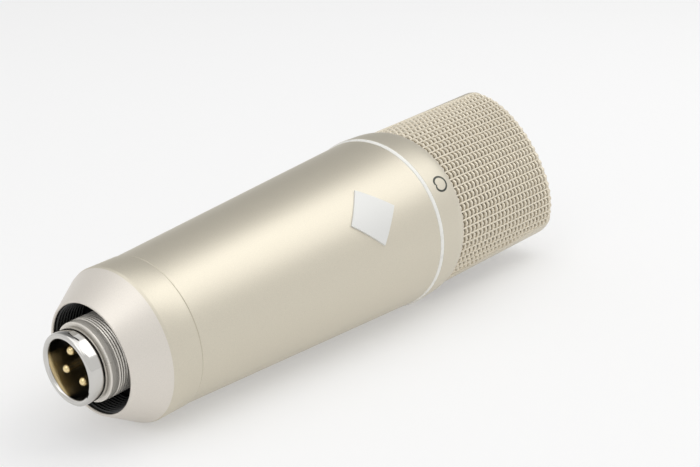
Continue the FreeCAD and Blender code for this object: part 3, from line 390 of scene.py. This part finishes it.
# ---- Output plug -----------------------------------------------------------------------------
# A standard three-contact male plug: a nickel-plated shell with a rolled rim, a latch window and
# an index groove, let into the threaded ferrule that takes the ring of a stand mount.
nickel = textured("bright_nickel", (206, 204, 200), rough=0.12, metal=1.0,
                  grain=6.0, tint=0.02, relief=0.004, grip=0.04)
rim, shell_end, neck_end = -120.7, -115.7, -103.85
carved_edge_angle = math.radians(35)
shell = settled("plug_shell_body", turned([
    (8.3, rim + 0.9), (8.45, rim + 0.35), (8.8, rim + 0.05), (9.2, rim), (9.6, rim + 0.1),
    (9.9, rim + 0.4), (10.0, rim + 0.9), (10.0, rim + 1.5), (10.0, rim + 3.5),
    (10.0, shell_end - 0.3), (9.88, shell_end), (9.3, shell_end), (9.3, neck_end),
    (8.3, neck_end)], plug_steps), "head_chassis", nickel)
cutters = []
for name, angle, size, radius, station in (
        ("latch_window", -40.0, (4.2, 6.0, 1.8), 10.6, rim + 2.5),
        ("index_groove", 67.5, (2.2, 1.6, 8.0), 8.3, rim + 3.95)):
    bm = bmesh.new()
    bmesh.ops.create_cube(bm, size=1, matrix=Matrix.Diagonal((*size, 1)))
    bmesh.ops.translate(bm, vec=(0, -radius, station), verts=bm.verts)
    bmesh.ops.rotate(bm, cent=(0, 0, 0), matrix=Matrix.Rotation(math.radians(angle), 3, "Z"),
                     verts=bm.verts)
    cutters.append(settled(name, bm, "head_chassis", nickel))
    cut = shell.modifiers.new(name, "BOOLEAN")
    cut.operation = "DIFFERENCE"
    cut.solver = "EXACT"
    cut.object = cutters[-1]
bpy.context.view_layer.update()
carved = bpy.data.meshes.new_from_object(shell.evaluated_get(bpy.context.evaluated_depsgraph_get()))
shell.modifiers.clear()
shell.data = carved
for cutter in cutters:
    bpy.data.objects.remove(cutter)
carved.set_sharp_from_angle(angle=carved_edge_angle)
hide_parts("plug_shell")

# Threaded ferrule: a smooth step, a fine thread and the tail that passes through the end ring.
pitch, turns, per_turn, thread_start = 0.75, 12, 72, -113.4
satin_nickel = textured("satin_nickel", (230, 225, 216), rough=0.30, metal=0.40,
                        grain=4.0, tint=0.02, relief=0.004, grip=0.04)
ferrule = settled("ferrule_body", turned([
    (9.35, -115.3), (10.75, -115.3), (11.02, -115.05), (11.04, -113.6), (10.90, -113.45),
    (10.90, -102.8), (9.0, -102.8), (9.0, -95.0), (7.5, -95.0), (7.5, -103.8), (9.35, -103.8)],
    plug_steps), "head_chassis", satin_nickel)
eased(ferrule, 0.12, 2)
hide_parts("threaded_ferrule")
bm = bmesh.new()
tooth = [bm.verts.new((radius, 0, station)) for radius, station in (
    (10.86, 0), (10.92, 0.10), (11.10, 0.32), (11.10, 0.43), (10.92, 0.65), (10.86, 0.75))]
edges = [bm.edges.new(pair) for pair in zip(tooth, tooth[1:])]
bmesh.ops.spin(bm, geom=tooth + edges, cent=(0, 0, 0), axis=(0, 0, 1),
               dvec=(0, 0, pitch / per_turn), angle=math.tau * turns, steps=turns * per_turn,
               use_merge=False)
bmesh.ops.remove_doubles(bm, verts=bm.verts, dist=merge_distance)
bmesh.ops.recalc_face_normals(bm, faces=bm.faces)
bmesh.ops.translate(bm, vec=(0, 0, thread_start), verts=bm.verts)
settled("ferrule_thread", bm, "head_chassis", satin_nickel)

# Insert: a black moulding with a hole for each contact, pressed into the shell from behind.
moulded_black = textured("moulded_black", (22, 20, 19), rough=0.42, metal=0.0,
                         grain=0.6, tint=0.12, relief=0.01, grip=0.08)
refinished(moulded_black, "plug_insert")

# Contacts: turned brass pins, gold plated, with domed noses, on one circle about the axis.
pin_radius, nose_centre, pin_tail, pin_circle = 1.2, -117.6, -90.5, 4.3
gold = textured("contact_gold", (238, 216, 166), rough=0.22, metal=1.0,
                grain=2.0, tint=0.04, relief=0.002, grip=0.05)
for number, angle in ((1, 91.0), (2, 291.0), (3, 191.0)):
    reach = math.radians(angle)
    dome = [(pin_radius * math.sin(math.radians(bend)),
             nose_centre - pin_radius * math.cos(math.radians(bend))) for bend in range(0, 91, 10)]
    pin = settled(f"contact_{number}", turned(
        dome + [(pin_radius, pin_tail), (0.0, pin_tail)], pin_steps,
        (pin_circle * math.sin(reach), -pin_circle * math.cos(reach))),
        "head_chassis", gold)
    eased(pin, 0.05, 1)
    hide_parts(f"contact_pin_{number}")


# ---- Chassis ---------------------------------------------------------------------------------
# Inside the tube: an end ring coloured near black, two brass rails, the circuit board and its
# parts.
# They show only with the tube drawn off, apart from the end ring's face deep in the cup's mouth.
# The end ring is coloured near black.
end_ring_black = textured("end_ring_near_black", (24, 24, 25), rough=0.45, metal=0.6,
                    grain=0.8, tint=0.08, relief=0.01, grip=0.06)
rail_brass = textured("rail_brass", (196, 160, 96), rough=0.32, metal=1.0,
                      grain=0.5, tint=0.05, relief=0.006, grip=0.06, stretch=(0.05, 1, 1))
solder_mask = textured("board_solder_mask", (28, 92, 54), rough=0.35, metal=0.0,
                       grain=1.2, tint=0.12, relief=0.01, grip=0.06)
film_red = textured("film_capacitor_red", (168, 52, 36), rough=0.30, metal=0.0,
                    grain=1.5, tint=0.05, relief=0.01, grip=0.04)
can_sleeve = textured("capacitor_sleeve", (36, 44, 78), rough=0.32, metal=0.0,
                      grain=1.0, tint=0.06, relief=0.005, grip=0.05)
part_black = textured("transistor_black", (30, 30, 31), rough=0.50, metal=0.0,
                      grain=0.5, tint=0.10, relief=0.01, grip=0.06)
lacquer = textured("resistor_lacquer", (120, 160, 190), rough=0.30, metal=0.0,
                   grain=0.8, tint=0.06, relief=0.01, grip=0.05)
refinished(end_ring_black, "chassis_end_ring")
refinished(nickel, "ferrule_nut")
refinished(rail_brass, "rail_left", "rail_right")
refinished(solder_mask, "circuit_board")
refinished(film_red, "film_capacitors")
refinished(can_sleeve, "electrolytic_capacitors")
refinished(part_black, "transistors")
refinished(lacquer, "resistors")
refinished(moulded_black, "lead_header")


# ---- Capsule ---------------------------------------------------------------------------------
# A turned brass core with a gold-sputtered film clamped over each face, held in a black cradle on
# a rubber damper and a turned post that is screwed to the collar's web.
capsule_brass = textured("capsule_brass", (206, 176, 112), rough=0.26, metal=1.0,
                         grain=0.6, tint=0.04, relief=0.004, grip=0.05)
gold_film = textured("gold_film", (232, 200, 132), rough=0.10, metal=1.0,
                     grain=4.0, tint=0.02, relief=0.003, grip=0.02)
cradle_black = textured("cradle_black", (34, 34, 35), rough=0.55, metal=0.0,
                        grain=0.5, tint=0.10, relief=0.02, grip=0.06)
damper = textured("damper_rubber", (26, 26, 26), rough=0.75, metal=0.0,
                  grain=0.4, tint=0.15, relief=0.02, grip=0.06)
refinished(capsule_brass, "capsule_core", "front_clamp_ring", "rear_clamp_ring", "front_terminal",
           "rear_terminal")
refinished(gold_film, "front_diaphragm", "rear_diaphragm")
refinished(cradle_black, "capsule_cradle")
refinished(damper, "cradle_damper")
refinished(rail_brass, "capsule_post")


# ---- Screws and leads ------------------------------------------------------------------------
# Zinc-plated cheese-head screws hold the rails, board, grille, post and clamp rings. Red-sleeved
# leads run from the capsule to the board, and from the board to the plug's contacts.
zinc = textured("zinc_plate", (180, 182, 184), rough=0.30, metal=1.0,
                grain=0.5, tint=0.06, relief=0.005, grip=0.06)
sleeve = textured("lead_sleeve_red", (150, 34, 28), rough=0.40, metal=0.0,
                  grain=0.5, tint=0.06, relief=0.005, grip=0.05)
refinished(zinc, "basket_screws", "lower_rail_screws", "upper_rail_screws", "board_screws",
           "post_screws", "clamp_screws")
refinished(sleeve, "capsule_leads", "output_leads")


# ---- Floor, light and camera -------------------------------------------------------------------
# A pale seamless floor in a bright room, under a soft box, a side panel and a broad overhead panel.
# Seen by the camera or in a mirror, the floor also glows a little, which keeps it white under its
# soft shadow. In mirrors the room is brighter than its light, and dimmer towards one corner.
floor_size, floor_glow = 4, 0.35
room_light, room_seen = 0.55, 0.956
mirror_bright, mirror_dim = 0.85, 0.22
dim_heading, dim_from, dim_to = (0.58, 0.58, 0.57), 0.70, 0.97
lamp_target = (0, 0, 0.03)


def on_paths(tree, *kinds):
    """A socket that is 1 on light paths of the named kinds, and 0 on the others."""
    paths = tree.nodes.new("ShaderNodeLightPath")
    chosen = paths.outputs[kinds[0]]
    for kind in kinds[1:]:
        either = tree.nodes.new("ShaderNodeMath")
        either.operation = "MAXIMUM"
        tree.links.new(chosen, either.inputs[0])
        tree.links.new(paths.outputs[kind], either.inputs[1])
        chosen = either.outputs["Value"]
    return chosen


bm = bmesh.new()
bmesh.ops.create_grid(bm, x_segments=1, y_segments=1, size=floor_size)
floor_mesh = bpy.data.meshes.new("studio_floor")
bm.to_mesh(floor_mesh)
bm.free()
floor = bpy.data.objects.new("studio_floor", floor_mesh)
bpy.context.scene.collection.objects.link(floor)
floor_paper, paper_shader, _, _ = finish_of("floor_paper", (250, 250, 250), 0.9)
paper_shader.inputs["Specular IOR Level"].default_value = 0.0
paper = floor_paper.node_tree
plain = paper.nodes.new("ShaderNodeEmission")
plain.inputs["Strength"].default_value = 1.0
share = paper.nodes.new("ShaderNodeMath")
share.operation = "MULTIPLY"
share.inputs[1].default_value = floor_glow
paper.links.new(on_paths(paper, "Is Camera Ray", "Is Glossy Ray", "Is Transmission Ray"),
                share.inputs[0])
blend = paper.nodes.new("ShaderNodeMixShader")
paper.links.new(share.outputs["Value"], blend.inputs["Fac"])
paper.links.new(paper_shader.outputs["BSDF"], blend.inputs[1])
paper.links.new(plain.outputs["Emission"], blend.inputs[2])
paper.links.new(blend.outputs["Shader"], paper.nodes["Material Output"].inputs["Surface"])
floor_mesh.materials.append(floor_paper)

world = bpy.data.worlds.new("studio_room")
bpy.context.scene.world = world
world.use_nodes = True
room = world.node_tree
heading = room.nodes.new("ShaderNodeTexCoord")
toward = room.nodes.new("ShaderNodeVectorMath")
toward.operation = "DOT_PRODUCT"
toward.inputs[1].default_value = dim_heading
room.links.new(heading.outputs["Generated"], toward.inputs[0])
dim_corner = room.nodes.new("ShaderNodeMapRange")
dim_corner.inputs["From Min"].default_value = dim_from
dim_corner.inputs["From Max"].default_value = dim_to
dim_corner.inputs["To Min"].default_value = mirror_bright
dim_corner.inputs["To Max"].default_value = mirror_dim
room.links.new(toward.outputs["Value"], dim_corner.inputs["Value"])
mirrored = room.nodes.new("ShaderNodeMix")
mirrored.data_type = "FLOAT"
mirrored.inputs["A"].default_value = room_light
room.links.new(on_paths(room, "Is Glossy Ray"), mirrored.inputs["Factor"])
room.links.new(dim_corner.outputs["Result"], mirrored.inputs["B"])
seen = room.nodes.new("ShaderNodeMix")
seen.data_type = "FLOAT"
seen.inputs["B"].default_value = room_seen
room.links.new(on_paths(room, "Is Camera Ray", "Is Transmission Ray"), seen.inputs["Factor"])
room.links.new(mirrored.outputs["Result"], seen.inputs["A"])
room.links.new(seen.outputs["Result"], room.nodes["Background"].inputs["Strength"])
room.nodes["Background"].inputs["Color"].default_value = (1, 1, 1, 1)

for name, place, size, power in (
        ("soft_box", (0.52, -0.35, 0.80), 0.75, 2.2),
        ("side_panel", (-0.90, -0.15, 0.75), 0.60, 1.0),
        ("overhead_panel", (-0.10, -0.10, 2.0), 2.4, 13.0)):
    light = bpy.data.lights.new(name, "AREA")
    light.shape = "RECTANGLE"
    light.size = light.size_y = size
    light.energy = power
    lamp = bpy.data.objects.new(name, light)
    lamp.location = place
    lamp.rotation_euler = (Vector(lamp_target) - Vector(place)).to_track_quat("-Z", "Y").to_euler()
    bpy.context.scene.collection.objects.link(lamp)

view = bpy.data.cameras.new("studio_camera")
view.lens = 66.03
view.sensor_width = 36
view.clip_start = 0.01
camera = bpy.data.objects.new("studio_camera", view)
camera.location = (-0.276748, -0.244813, 0.161564)
camera.rotation_euler = (math.radians(70.4888), 0, math.radians(-49.5372))
bpy.context.scene.collection.objects.link(camera)
bpy.context.scene.camera = camera
bpy.context.scene.view_settings.view_transform = "Standard"
